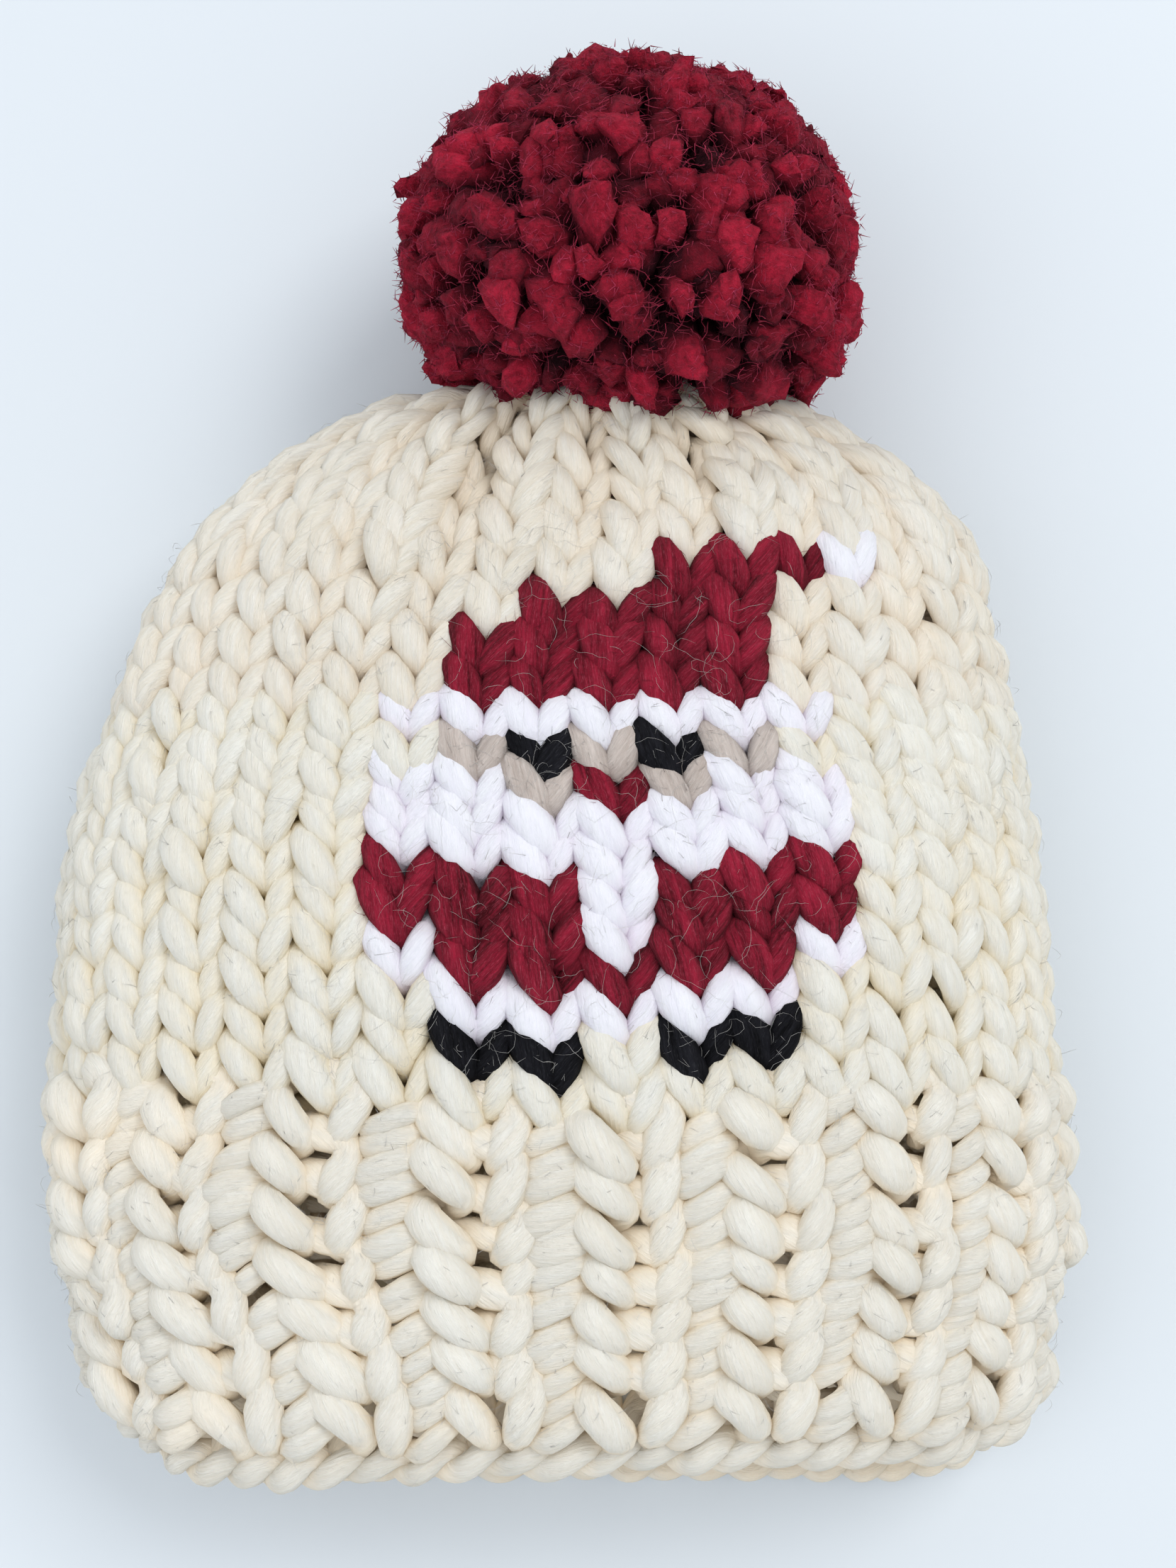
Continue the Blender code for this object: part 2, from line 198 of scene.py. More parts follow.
# The yarn's way through a stitch: the share of its length, how far across the stitch, how many rows up
# from the row's middle, how far out of the fabric in millimetres, and how thick.
WAY_COLUMNS = ("share", "across", "rise", "out", "thick")
KNIT_STITCH = (
    (0.00, 0.00, -0.84, -3.2, 0.80),
    (0.09, 0.42, -0.92, -2.8, 0.75),
    (0.15, 0.56, -0.72, -0.6, 0.82),
    (0.23, 0.48, -0.38, 2.3, 0.98),
    (0.30, 0.30, 0.08, 3.3, 1.07),
    (0.37, 0.13, 0.52, 2.3, 0.97),
    (0.44, 0.07, 0.80, -0.8, 0.82),
    (0.52, 0.50, 0.98, -3.2, 0.75),
    (0.60, 0.96, 0.82, -1.2, 0.75),
    (0.67, 0.93, 0.54, 1.6, 0.84),
    (0.74, 0.84, 0.10, 3.0, 0.94),
    (0.81, 0.72, -0.38, 2.0, 0.88),
    (0.88, 0.62, -0.70, -0.8, 0.78),
    (0.94, 0.78, -0.90, -2.8, 0.75),
)
RIB_PAIR = (
    (0.000, 0.02, -0.80, -2.8, 0.84),
    (0.045, 0.20, -0.76, -2.0, 0.84),
    (0.075, 0.28, -0.50, 1.0, 0.94),
    (0.125, 0.24, -0.24, 3.4, 1.07),
    (0.170, 0.15, 0.05, 4.3, 1.13),
    (0.215, 0.06, 0.34, 3.4, 1.07),
    (0.250, 0.03, 0.60, 0.0, 0.92),
    (0.285, 0.20, 0.84, -1.2, 0.92),
    (0.320, 0.40, 0.86, 1.6, 1.10),
    (0.355, 0.57, 0.72, 1.9, 1.00),
    (0.385, 0.61, 0.44, 2.8, 0.98),
    (0.430, 0.57, 0.04, 3.8, 1.08),
    (0.475, 0.52, -0.34, 2.8, 0.98),
    (0.510, 0.49, -0.60, 0.2, 0.84),
    (0.550, 0.57, -0.76, -2.6, 0.78),
    (0.590, 0.63, -0.62, -0.4, 0.76),
    (0.640, 0.74, -0.52, 3.0, 0.82),
    (0.690, 0.91, -0.22, 3.2, 0.82),
    (0.725, 1.02, -0.10, -0.3, 0.78),
    (0.775, 0.86, -0.06, -2.2, 0.80),
    (0.820, 0.65, -0.10, -0.3, 0.78),
    (0.860, 0.74, 0.00, 2.8, 0.82),
    (0.910, 0.92, 0.34, 3.4, 0.82),
    (0.950, 1.04, 0.38, -0.8, 0.74),
    (0.975, 1.06, -0.28, -2.8, 0.80),
)

# The figure in its coloured yarns, from the top row down: R red, W white, K black, B beige, . cream.
CHART_FIRST_STITCH = 6
CHART = (
    "....RRRW",
    "..RRRR..",
    ".RRRRR..",
    ".RRRRR..",
    "WWWWWWW.",
    ".BKBKB..",
    "WWBRBWW.",
    "WWWWWWW.",
    "WWWWWWW.",
    "RRRWRRR.",
    "RRRWRRR.",
    "WRRRRRW.",
    ".WWWWW..",
    ".KK.KK..",
)


def column(name):
    """One named column of the section table."""
    place = SECTION_COLUMNS.index(name)
    return np.array([section[place] for section in SECTIONS])


def smooth_between(x, known_x, known_y):
    """A smooth curve through known points: on each span a cubic with the neighbours' mean slopes."""
    x = np.clip(x, known_x[0], known_x[-1])
    slopes = np.gradient(known_y, known_x)
    after = np.clip(np.searchsorted(known_x, x, side="right"), 1, len(known_x) - 1)
    before = after - 1
    span = known_x[after] - known_x[before]
    t = (x - known_x[before]) / span
    return ((2 * t**3 - 3 * t**2 + 1) * known_y[before]
            + (t**3 - 2 * t**2 + t) * span * slopes[before]
            + (3 * t**2 - 2 * t**3) * known_y[after]
            + (t**3 - t**2) * span * slopes[after])


def blunted(value, power):
    """A cosine or sine drawn towards a square corner: its size to the power 2 over the given power."""
    return np.sign(value) * np.abs(value) ** (2.0 / power)


def section_powers(roundness):
    """How blunt a section is in front and underneath."""
    return (FRONT_POWER * (1.0 - roundness) + ELLIPSE_POWER * roundness,
            UNDER_POWER * (1.0 - roundness) + ELLIPSE_POWER * roundness)


def arc_table(power, height):
    """Angles and the share of a half section's length travelled up to each."""
    steps = np.linspace(0.0, math.pi, 400)
    x = BODY_HALF_WIDTH * blunted(np.cos(steps), power)
    z = height * blunted(np.sin(steps), power)
    travelled = np.concatenate([[0.0], np.cumsum(np.hypot(np.diff(x), np.diff(z)))])
    return travelled / travelled[-1], steps


def even_angle(around, roundness):
    """The section angle at a fraction of the way round, evenly along the knitting in the body."""
    front_power, under_power = section_powers(0.0)
    front = np.interp(around * 2.0, *arc_table(front_power, BODY_RISE))
    under = np.interp(around * 2.0 - 1.0, *arc_table(under_power, BODY_DROP))
    angle = np.where(around < 0.5, math.pi - front, -under)
    return angle * (1.0 - roundness) + (math.pi - 2.0 * math.pi * around) * roundness


def dent_depth(x, y):
    """How far the front is pressed in: a bell in two directions for each dent."""
    depth = np.zeros_like(x)
    for dent_x, dent_y, half_length, half_width, deepest, turn in DENTS:
        c = math.cos(math.radians(turn))
        s = math.sin(math.radians(turn))
        along = (x - dent_x) * c + (y - dent_y) * s
        across = (y - dent_y) * c - (x - dent_x) * s
        depth = depth + deepest * np.exp(-(along / half_length) ** 2 - (across / half_width) ** 2)
    return depth


def fabric(station, around):
    """Points in the middle of the hat's fabric, in millimetres.

    Each section is a blunted ellipse between its left, right, low and top limits, drawn in by the
    yarn's depth; around runs from the left fold over the front to the right fold and back beneath.
    """
    station = np.clip(station, SECTIONS[0][0], SECTIONS[-1][0])
    around = np.mod(around, 1.0)
    part = {name: smooth_between(station, column("station"), column(name)) for name in SECTION_COLUMNS[1:]}
    roundness = np.clip((station - ROUND_FROM) / ROUND_RANGE, 0.0, 1.0)
    angle = even_angle(around, roundness)
    front = np.sin(angle) >= 0.0
    inset = YARN_DEPTH * (1.0 - part["end"])
    half_width = np.maximum((part["right"] - part["left"]) / 2.0 - inset, GATHER_HOLE_RADIUS)
    above = np.maximum(part["top"] - part["side"] - inset, GATHER_HOLE_RADIUS)
    below = np.maximum(part["side"] - np.maximum(part["low"], 0.0) - inset, GATHER_HOLE_RADIUS)
    front_power, under_power = section_powers(roundness)
    power = np.where(front, front_power, under_power)
    across = blunted(np.cos(angle), power)
    height = blunted(np.sin(angle), power)
    x = (part["left"] + part["right"]) / 2.0 + half_width * across
    y = part["y"] - YARN_DEPTH * part["end"]
    z = part["side"] + np.where(front, above, below) * height
    near_edge = np.clip((EDGE_FROM - station) / EDGE_RANGE, 0.0, 1.0)
    side_lift = np.where(np.cos(angle) < 0.0, LEFT_EDGE_LIFT, RIGHT_EDGE_LIFT)
    y = y + near_edge * side_lift * np.abs(np.cos(angle)) ** CORNER_POWER
    y = y + near_edge * np.clip(np.sin(angle), 0.0, 1.0) * (EDGE_TILT * x + FRONT_EDGE_LIFT)
    z = z - np.where(front, dent_depth(x, y) * np.abs(np.sin(angle)), 0.0)
    return np.stack([x, y, z], axis=-1)


def unit(vectors):
    """Vectors at length one."""
    return vectors / np.maximum(np.linalg.norm(vectors, axis=-1, keepdims=True), 1e-9)


def fabric_normal(station, around):
    """The fabric's outward direction: the cross product of its slopes round and along."""
    inner = np.clip(station, SECTIONS[0][0] + 0.1, SECTIONS[-1][0] - 0.1)
    round_way = fabric(inner, around + ROUND_STEP) - fabric(inner, around - ROUND_STEP)
    along_way = fabric(inner + ALONG_STEP, around) - fabric(inner - ALONG_STEP, around)
    return unit(np.cross(round_way, along_way))


def warped(around):
    """Where a stitch truly lies: the columns are spread a little wider at the middle than at the left."""
    return around + SPREAD * np.sin(2.0 * math.pi * (2.0 * around - SPREAD_FROM))


def leaning(station, around):
    """How far the left part of the ribbing is pushed sideways: it leans in towards the edge of the brim.

    The push is a smooth curve along the hat times a bell round it.
    """
    push = smooth_between(station, *np.array(LEAN).T)
    return push * np.exp(-((around % 1.0 - LEAN_MIDDLE) / LEAN_WIDTH) ** 2)


def smooth_noise(count_rows, count_round, samples, size):
    """Values that change smoothly from stitch to stitch along each row, read at every sample of it."""
    values = RANDOM.normal(0.0, size, (count_rows, count_round))
    place = (np.arange(count_round * samples) / samples - 0.5) % count_round
    low = np.floor(place).astype(int)
    share = place - low
    share = share * share * (3.0 - 2.0 * share)
    return values[:, low % count_round] * (1.0 - share) + values[:, (low + 1) % count_round] * share


def placed(name, data):
    """A new object in the scene."""
    made = bpy.data.objects.new(name, data)
    bpy.context.scene.collection.objects.link(made)
    return made


class Mesh:
    """Vertices, quads and corner values gathered from arrays, written as one Blender mesh."""

    def __init__(self):
        self.points = []
        self.quads = []
        self.values = {}
        self.corner_uv = []
        self.count = 0

    def add(self, points, quads, uv, **values):
        """Adds points, quads of them, a UV pair for each quad corner, and values for each point."""
        self.points.append(points)
        self.quads.append(quads + self.count)
        self.corner_uv.append(uv)
        for name, value in values.items():
            self.values.setdefault(name, []).append(value)
        self.count += len(points)

    def build(self, name, material, slot, *nodes):
        """Makes the object, in metres, riding on the hat's body and standing for the named CAD nodes."""
        points = np.concatenate(self.points) * MM
        quads = np.concatenate(self.quads)
        mesh = bpy.data.meshes.new(name)
        mesh.vertices.add(len(points))
        mesh.vertices.foreach_set("co", points.astype(np.float32).ravel())
        mesh.loops.add(quads.size)
        mesh.loops.foreach_set("vertex_index", quads.astype(np.int32).ravel())
        mesh.polygons.add(len(quads))
        mesh.polygons.foreach_set("loop_start", np.arange(0, quads.size, 4, dtype=np.int32))
        mesh.polygons.foreach_set("use_smooth", np.ones(len(quads), dtype=bool))
        layer = mesh.uv_layers.new(name="yarn")
        layer.data.foreach_set("uv", np.concatenate(self.corner_uv).astype(np.float32).ravel())
        for key, value in self.values.items():
            attribute = mesh.attributes.new(key, "FLOAT", "POINT")
            attribute.data.foreach_set("value", np.concatenate(value).astype(np.float32))
        mesh.update()
        mesh.validate()
        mesh.materials.append(material)
        piece = placed(name, mesh)
        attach(piece, "root")
        if nodes:
            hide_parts(*nodes)


def tube_rings(centre, tangent, normal, half_width, half_depth, sides):
    """Rings of points round a centreline: an ellipse, wide across the fabric and deep along its normal."""
    normal = unit(normal - tangent * np.sum(normal * tangent, axis=-1, keepdims=True))
    side = np.cross(tangent, normal)
    turn = 2.0 * math.pi * np.arange(sides) / sides
    return (centre[..., None, :]
            + side[..., None, :] * (half_width[..., None] * np.cos(turn))[..., None]
            + normal[..., None, :] * (half_depth[..., None] * np.sin(turn))[..., None])


def ring_quads(rows, samples, sides, closed):
    """Quads of tubes laid out as rows, samples and sides; closed joins each row's last ring to its first."""
    last = samples if closed else samples - 1
    row, sample, side = np.meshgrid(np.arange(rows), np.arange(last), np.arange(sides), indexing="ij")
    ahead = (sample + 1) % samples
    beside = (side + 1) % sides
    base = row * samples * sides
    return np.stack([base + sample * sides + side, base + ahead * sides + side,
                     base + ahead * sides + beside, base + sample * sides + beside], axis=-1)


def tube_uv(length, sides, closed):
    """UV pairs for each corner: millimetres along the yarn, and the share of the way round it."""
    if closed:
        last = length[:, -1:] + (length[:, -1:] - length[:, -2:-1])
        length = np.concatenate([length, last], axis=1)
    shape = (len(length), length.shape[1] - 1, sides)
    side = np.broadcast_to(np.arange(sides), shape) / sides
    step = 1.0 / sides
    u0 = np.broadcast_to(length[:, :-1, None], shape)
    u1 = np.broadcast_to(length[:, 1:, None], shape)
    return np.stack([np.stack([u0, side], -1), np.stack([u1, side], -1),
                     np.stack([u1, side + step], -1), np.stack([u0, side + step], -1)], axis=-2)


def along(centre):
    """Directions and lengths along closed centrelines."""
    ahead = np.roll(centre, -1, axis=1) - np.roll(centre, 1, axis=1)
    step = np.linalg.norm(np.roll(centre, -1, axis=1) - centre, axis=-1)
    length = np.concatenate([np.zeros((len(centre), 1)), np.cumsum(step, axis=1)[:, :-1]], axis=1)
    return unit(ahead), length


def yarn_way(table, samples):
    """One repeat of the yarn's way, read at even shares of a smooth curve through the table's points.

    The same points stand before and after it, one repeat to the left and right, so that it joins itself.
    """
    points = np.array(table)
    shift = np.array([1.0, 1.0, 0.0, 0.0, 0.0])
    known = np.concatenate([points - shift, points, points + shift])
    share = np.arange(samples) / samples
    return [smooth_between(share, known[:, 0], known[:, place]) for place in range(1, len(WAY_COLUMNS))]


def bow(row, around):
    """How far a row's sides lie above its middle on the front: a bell round the hat, by the table's share."""
    bell = np.exp(-((around % 1.0 - BOW_MIDDLE) / BOW_WIDTH) ** 2)
    return ROW_BOW * np.interp(row, *np.array(BOW_SHARES).T) * (1.0 - bell)


def row_station(row):
    """The station of a row or of a place between two rows, on a smooth curve through the table."""
    return smooth_between(row, *np.array(ROW_PLACES).T)


def drawn_left(station, around):
    """How far the columns are drawn to the left over the figure's face: a bell along the hat and round it."""
    return FACE_PUSH * np.exp(-((station - FACE_STATION) / FACE_LENGTH) ** 2
                              - ((around % 1.0 - FACE_MIDDLE) / FACE_WIDTH) ** 2)


def unevenness(rows, total, sizes):
    """How far the stitches move across, up and out, and how plump the yarn is, by smooth noise."""
    legs = 2 * STITCHES
    sway, lift, raised = (smooth_noise(rows, legs, total // legs, size) for size in sizes)
    plump = (1.0 + smooth_noise(rows, legs, total // legs, LEG_PLUMP)
             + smooth_noise(rows, total // PLUMP_SAMPLES, PLUMP_SAMPLES, INNER_PLUMP))
    return sway, lift, raised, plump


def knitted_rows(rows):
    """Plain knitted rows: every stitch follows the way in its table, moved a little by smooth noise.

    Both legs of a stitch have noise of their own. Towards the gather the yarn is drawn thinner and every
    other stitch is lifted into a fold.
    """
    rows = np.asarray(rows, float)
    across, rise, out, thick = (np.tile(part, STITCHES) for part in yarn_way(KNIT_STITCH, SAMPLES))
    stitch = np.arange(STITCHES * SAMPLES) // SAMPLES
    sway, lift, raised, plump = unevenness(len(rows), len(stitch), PLAIN_NOISE)
    place = stitch + across + sway + STITCH_SHIFT
    around = warped(place / STITCHES)
    station = row_station(rows[:, None] + STITCH_HEIGHT * rise + lift) + bow(rows[:, None], around)
    around = around + drawn_left(station, around)
    gather = smooth_between(station, column("station"), column("gather"))
    height = out + raised + gather * GATHER_FOLD * np.cos(math.pi * place)
    drawn = np.clip((DRAWN_END - station) / DRAWN_RANGE, DRAWN_LEAST, 1.0)
    normal = fabric_normal(station, around)
    centre = fabric(station, around) + normal * height[..., None]
    depth = plump * thick * (1.0 - DRAWN_DEPTH + DRAWN_DEPTH * drawn)
    return centre, normal, height, STITCH_WIDTH * plump * thick * drawn, depth


def rib_rows():
    """Rows of ribbing, a knit and a purl column in turn, that follow the way in their table.

    The last row reaches down over the cast-on edge.
    """
    pairs = STITCHES // 2
    rows = np.arange(RIB_ROWS, dtype=float)[:, None]
    across, rise, out, thick = (np.tile(part, pairs) for part in yarn_way(RIB_PAIR, PAIR_SAMPLES))
    pair = np.arange(pairs * PAIR_SAMPLES) // PAIR_SAMPLES
    sway, lift, raised, plump = unevenness(RIB_ROWS, len(pair), RIB_NOISE)
    place = 2.0 * (pair + across + sway) + RIB_SHIFT
    around = warped(place / STITCHES)
    rise = np.where((rows == RIB_ROWS - 1) & (rise < 0.0), LAST_ROW_REACH * rise, rise)
    station = RIB_STATION + RIB_STEP * (rise + lift - rows) + bow(FIRST_RIB_ROW - rows, around)
    around = around + leaning(station, around)
    height = out + raised
    normal = fabric_normal(station, around)
    centre = fabric(station, around) + normal * height[..., None]
    return centre, normal, height, plump * thick, plump * thick


def lay_yarn(mesh_of, centre, normal, height, width, depth, colour_of):
    """Lays tubes of yarn and shares their stitches out to the meshes of their colours.

    How deep a point lies in the fabric is kept with it, as its share of painted shade: 0 on top of the
    stitches, 1 down between them, and a little more where the front is pressed in.
    """
    rows, total = centre.shape[:2]
    samples = total // colour_of.shape[1]
    tangent, length = along(centre)
    rings = tube_rings(centre, tangent, normal, YARN_HALF_WIDTH * width, YARN_HALF_DEPTH * depth, SIDES)
    rings[..., 2] = np.maximum(rings[..., 2], YARN_CLEARANCE)
    turn = 2.0 * math.pi * np.arange(SIDES) / SIDES
    top = height[..., None] + (YARN_HALF_DEPTH * depth)[..., None] * np.sin(turn)
    # painted shade: where a dent presses the upper front in, the yarn gets more crevice colour
    pressed = PRESSED_SHADE * dent_depth(rings[..., 0], rings[..., 1]) * (rings[..., 2] > PRESSED_ABOVE)
    # painted shade: the lower a point lies between the stitches, the more crevice colour it gets
    deep = np.clip((DEEP_FROM - top) / DEEP_RANGE, 0.0, 1.0) + pressed
    deep = np.minimum(deep, 1.0).reshape(-1)
    quads = ring_quads(rows, total, SIDES, closed=True)
    uv = tube_uv(length, SIDES, closed=True)
    points = rings.reshape(-1, 3)
    shade = np.repeat(RANDOM.normal(0.0, 1.0, colour_of.shape), samples, axis=1)
    shade = np.broadcast_to(shade[..., None], rings.shape[:-1]).reshape(-1)
    colours = np.repeat(colour_of, samples, axis=1)
    for key, mesh in mesh_of.items():
        chosen = colours == key
        if not chosen.any():
            continue
        picked = quads[chosen].reshape(-1, 4)
        used, place = np.unique(picked, return_inverse=True)
        mesh.add(points[used], place.reshape(-1, 4), uv[chosen].reshape(-1, 4, 2).reshape(-1, 2),
                 shade=shade[used], deep=deep[used])


def chart_colours(rows):
    """The yarn of each stitch of the given rows, from the chart; the last chart row is row 0."""
    colours = np.full((len(rows), STITCHES), ".", dtype="<U1")
    for number, row in enumerate(rows):
        if 0 <= row < len(CHART):
            symbols = CHART[-1 - row]
            colours[number, CHART_FIRST_STITCH:CHART_FIRST_STITCH + len(symbols)] = list(symbols)
    return colours


class Socket:
    """A node's output that can be added, multiplied and so on, each making a Math node."""

    def __init__(self, tree, output):
        self.tree = tree
        self.output = output

    def node(self, kind, *inputs, **settings):
        """Adds a node of any kind to the same tree."""
        return make_node(self.tree, kind, *inputs, **settings)

    def math(self, operation, *inputs):
        """Adds a Math node."""
        return self.node("ShaderNodeMath", *inputs, operation=operation)

    def __add__(self, other):
        return self.math("ADD", self, other)

    def __radd__(self, other):
        return self.math("ADD", other, self)

    def __sub__(self, other):
        return self.math("SUBTRACT", self, other)

    def __rsub__(self, other):
        return self.math("SUBTRACT", other, self)

    def __mul__(self, other):
        return self.math("MULTIPLY", self, other)

    def __rmul__(self, other):
        return self.math("MULTIPLY", other, self)

    def clamp(self):
        """The value held between 0 and 1."""
        return self.node("ShaderNodeClamp", self)


def make_node(tree, kind, *inputs, **settings):
    """Adds a node, sets its properties, and links or sets its inputs in order."""
    made = tree.nodes.new(kind)
    output = settings.pop("output", 0)
    for name, value in settings.items():
        setattr(made, name, value)
    for place, value in enumerate(inputs):
        if isinstance(value, Socket):
            tree.links.new(value.output, made.inputs[place])
        elif value is not None:
            made.inputs[place].default_value = value
    return Socket(tree, made.outputs[output])


def mixed(tree, share, first, second):
    """A colour between two, by a share."""
    made = tree.nodes.new("ShaderNodeMix")
    made.data_type = "RGBA"
    for place, value in ((0, share), (6, first), (7, second)):
        if isinstance(value, Socket):
            tree.links.new(value.output, made.inputs[place])
        elif isinstance(value, tuple):
            made.inputs[place].default_value = (*value, 1.0)
        else:
            made.inputs[place].default_value = value
    return Socket(tree, made.outputs[2])


def set_inputs(node, values):
    """Sets a node's constant inputs by their names."""
    for name, value in values.items():
        node.inputs[name].default_value = value


def plain_material(name):
    """A new material and its shader."""
    material = bpy.data.materials.new(name)
    material.use_nodes = True
    return material, material.node_tree.nodes["Principled BSDF"]


def wool(name, colour, shadow, fleck, crevice_shade, crevice_shade_share=0.9, fleck_share=0.3, sheen=0.3,
         sheen_tint=(1.0, 1.0, 1.0), uneven=0.07, strands=1.0, grain=0.0, grain_scale=1500.0,
         relief=0.0016, gloss=0.15, painted_glow=None):
    """Spun wool: bundles, streaks and single fibres run along the yarn with a slight twist.

    Each of them varies both colour and relief; where the relief is low the colour goes towards the shadow
    colour, painted shade on top of the wool's own uneven tone. Crevices between the stitches get painted
    shade in the crevice colour, and grain adds the felted relief of cut ends. The painted glow is an
    emission in the crevices that stands in for the light that pale wool passes on into them.
    """
    material, shader = plain_material(name)
    tree = material.node_tree
    set_inputs(shader, {"Metallic": 0.0, "Specular IOR Level": gloss, "Sheen Weight": sheen,
                        "Sheen Roughness": 0.45, "Sheen Tint": (*sheen_tint, 1.0)})

    uv = make_node(tree, "ShaderNodeUVMap", uv_map="yarn")
    parts = tree.nodes.new("ShaderNodeSeparateXYZ")
    tree.links.new(uv.output, parts.inputs[0])
    length = Socket(tree, parts.outputs[0])
    turn = (Socket(tree, parts.outputs[1]) + length * YARN_TWIST) * (2.0 * math.pi)
    side = turn.math("COSINE", turn)
    other = turn.math("SINE", turn)

    def drawn_out(across, along_yarn, scale, detail, roughness):
        """Noise drawn out along the yarn, by its scale across it and its scale along it."""
        place = turn.node("ShaderNodeCombineXYZ", side * across, other * across, length * along_yarn)
        return turn.node("ShaderNodeTexNoise", place, None, scale, detail, roughness, noise_dimensions="3D")

    bundle = drawn_out(0.8, 0.07, 1.6, 2.0, 0.5)
    streak = drawn_out(3.2, 0.12, 1.6, 3.0, 0.6)
    fine = drawn_out(11.0, 0.5, 2.4, 3.0, 0.65)

    coordinates = make_node(tree, "ShaderNodeTexCoord", output=3)
    soft = coordinates.node("ShaderNodeTexNoise", coordinates, None, 60.0, 2.0, 0.5)
    felted = coordinates.node("ShaderNodeTexNoise", coordinates, None, grain_scale, 5.0, 0.7)
    shade = make_node(tree, "ShaderNodeAttribute", output=2, attribute_name="shade")
    deep = make_node(tree, "ShaderNodeAttribute", output=2, attribute_name="deep")
    streaks = (bundle - 0.5) * 1.6 + (streak - 0.5) * 1.7
    mottle = streaks * strands + (soft - 0.5) * 0.9 + (felted - 0.5) * grain
    level = (mottle + shade * uneven + 0.55).clamp()
    # partly painted shade: the low parts of the relief go towards the shadow colour, along with the wool's
    # own uneven tone
    base = mixed(tree, level, shadow, colour)
    flecks = ((fine - 0.54) * 6.0).clamp() * fleck_share
    flecked = mixed(tree, flecks, base, fleck)
    # painted shade: the deeper a point lies between the stitches, the more of the crevice colour it takes
    painted_shade_share = deep * crevice_shade_share
    tree.links.new(mixed(tree, painted_shade_share, flecked, crevice_shade).output, shader.inputs["Base Color"])
    # painted light: a glow in the crevices, strongest halfway down, stands in for light that pale wool passes
    # into them
    if painted_glow:
        set_inputs(shader, {"Emission Strength": 1.0})
        tree.links.new(mixed(tree, deep * (1.0 - deep) * 4.0, (0.0, 0.0, 0.0), painted_glow).output,
                       shader.inputs["Emission Color"])
        material.cycles.emission_sampling = "NONE"
    rough = (fine - 0.5) * 0.2 + 0.88
    tree.links.new(rough.output, shader.inputs["Roughness"])
    bump = tree.nodes.new("ShaderNodeBump")
    set_inputs(bump, {"Strength": 0.8, "Distance": relief})
    relief_height = (bundle * 1.2 + streak * 0.5 + fine * 0.3) * strands + felted * grain
    tree.links.new(relief_height.output, bump.inputs["Height"])
    tree.links.new(bump.outputs["Normal"], shader.inputs["Normal"])
    return material


def edge_cord(mesh):
    """The cast-on edge: two strands wound round each other, drawn in by a cosine behind each knit column."""
    samples = STITCHES * CORD_SAMPLES
    place = np.arange(samples) / samples
    around = warped(place)
    station = np.full(samples, CORD_STATION)
    middle = fabric(station, around)
    normal = fabric_normal(station, around)
    down = unit(fabric(station - 0.3, around) - fabric(station + 0.3, around))
    for strand in range(2):
        uneven = smooth_noise(1, STITCHES, CORD_SAMPLES, CORD_UNEVEN)[0]
        turn = 2.0 * CORD_TURNS * math.pi * STITCHES * place + math.pi * strand + uneven
        drawn_in = CORD_INSET + CORD_WAVE * np.cos(math.pi * STITCHES * place)
        lower = CORD_HALF_HEIGHT * np.cos(turn)
        further = CORD_HALF_DEPTH * np.sin(turn) - drawn_in
        centre = (middle + down * lower[:, None] + normal * further[:, None])[None]
        tangent, length = along(centre)
        size = CORD_STRAND * (1.0 + smooth_noise(1, 2 * STITCHES, CORD_SAMPLES // 2, CORD_PLUMP))
        rings = tube_rings(centre, tangent, normal[None], size, size * 0.95, SIDES)
        rings[..., 2] = np.maximum(rings[..., 2], YARN_CLEARANCE)
        quads = ring_quads(1, samples, SIDES, closed=True).reshape(-1, 4)
        # painted shade: the part of each strand that turns in towards the fabric takes the crevice colour
        deep = np.clip(0.35 - 0.5 * np.sin(turn), 0.0, 1.0)
        mesh.add(rings.reshape(-1, 3), quads, tube_uv(length, SIDES, closed=True).reshape(-1, 2),
                 shade=np.zeros(samples * SIDES), deep=np.repeat(deep, SIDES))


def lock_ways():
    """Directions spread evenly over a sphere along a golden spiral, each moved a little at random."""
    step = np.arange(LOCKS) + 0.5
    height = 1.0 - 2.0 * step / LOCKS
    turn = math.pi * (1.0 + math.sqrt(5.0)) * step
    ring = np.sqrt(1.0 - height**2)
    way = np.stack([ring * np.cos(turn), height, ring * np.sin(turn)], axis=-1)
    return unit(way + RANDOM.normal(0.0, 0.045, way.shape))


def lock_frames(way):
    """Two directions across each lock."""
    seed = np.where(np.abs(way[:, 1:2]) < 0.8, np.array([0.0, 1.0, 0.0]), np.array([1.0, 0.0, 0.0]))
    side = unit(np.cross(way, seed))
    return side, np.cross(way, side)


def pompom_reach(way):
    """How far the pompom reaches in a direction, in millimetres: a sphere drawn to three sizes and blunted.

    Its underside hangs lower towards the right.
    """
    power = POMPOM_BLUNT + POMPOM_FOOT_BLUNT * np.clip(-2.0 * way[..., 1:2], 0.0, 1.0)
    blunt = np.sum(np.abs(way) ** power, axis=-1, keepdims=True) ** (-1.0 / power)
    reach = way * blunt * POMPOM_HALF_SIZE
    sag = POMPOM_SAG * reach[..., 0] * np.clip(-way[..., 1], 0.0, 1.0)
    reach[..., 1] = reach[..., 1] - sag
    return reach


